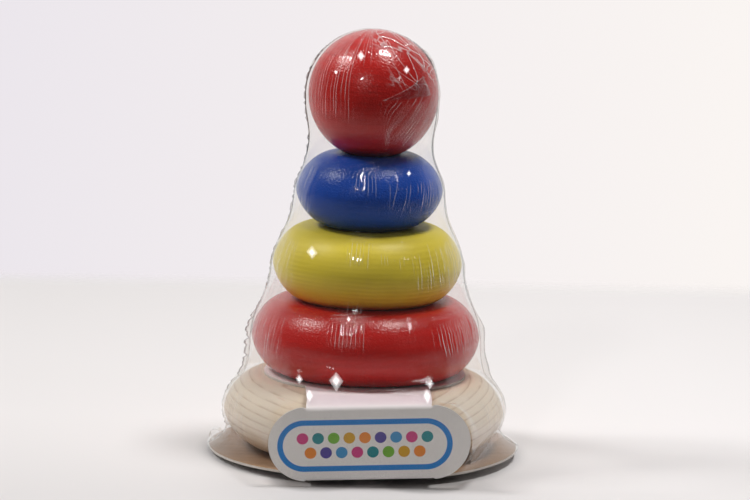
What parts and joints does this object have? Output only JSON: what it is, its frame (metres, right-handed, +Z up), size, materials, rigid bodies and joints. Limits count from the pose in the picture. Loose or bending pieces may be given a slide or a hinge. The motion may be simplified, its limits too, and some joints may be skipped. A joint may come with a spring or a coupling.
{
  "type": "stacking ring toy",
  "caption": "Wooden ring stacker: a turned base with a peg, painted rings that get smaller towards a ball on top, a folded card insert below and in front, and clear shrink film over it",
  "frame": {"origin": "centre of the card disc's underside, on the table, under the peg's axis", "axes": "+Z up along the peg; -Y to the printed panel of the card; +X to the right of someone who faces the panel"},
  "size_m": [0.1106, 0.1093, 0.1481],
  "materials": {
    "natural_wood": "bare, sanded",
    "red_lacquer": "gloss lacquer",
    "yellow_stain": "gloss, see-through stain",
    "blue_lacquer": "gloss lacquer",
    "white_card": "white-lined board",
    "clear_film": "clear, glossy"
  },
  "bodies": {
    "base": {"card_insert": "white_card", "base_ring": "natural_wood", "peg": "natural_wood"},
    "red_ring": {"red_ring": "red_lacquer"},
    "yellow_ring": {"yellow_ring": "yellow_stain"},
    "blue_ring": {"blue_ring": "blue_lacquer"},
    "top_ball": {"top_ball": "red_lacquer"},
    "shrink_film": {"shrink_film": "clear_film"}
  },
  "joints": [
    {"name": "red_ring_lift", "type": "slide", "parent": "base", "child": "red_ring", "axis": [0, 0, 1], "range_m": [0, 0.102]},
    {"name": "yellow_ring_lift", "type": "slide", "parent": "red_ring", "child": "yellow_ring", "axis": [0, 0, 1], "range_m": [0, 0.0765]},
    {"name": "blue_ring_lift", "type": "slide", "parent": "yellow_ring", "child": "blue_ring", "axis": [0, 0, 1], "range_m": [0, 0.0507]},
    {"name": "ball_lift", "type": "slide", "parent": "blue_ring", "child": "top_ball", "axis": [0, 0, 1], "range_m": [0, 0.025]},
    {"name": "film_lift", "type": "slide", "parent": "top_ball", "child": "shrink_film", "axis": [0, 0, 1], "range_m": [0, 0.152]}
  ]
}
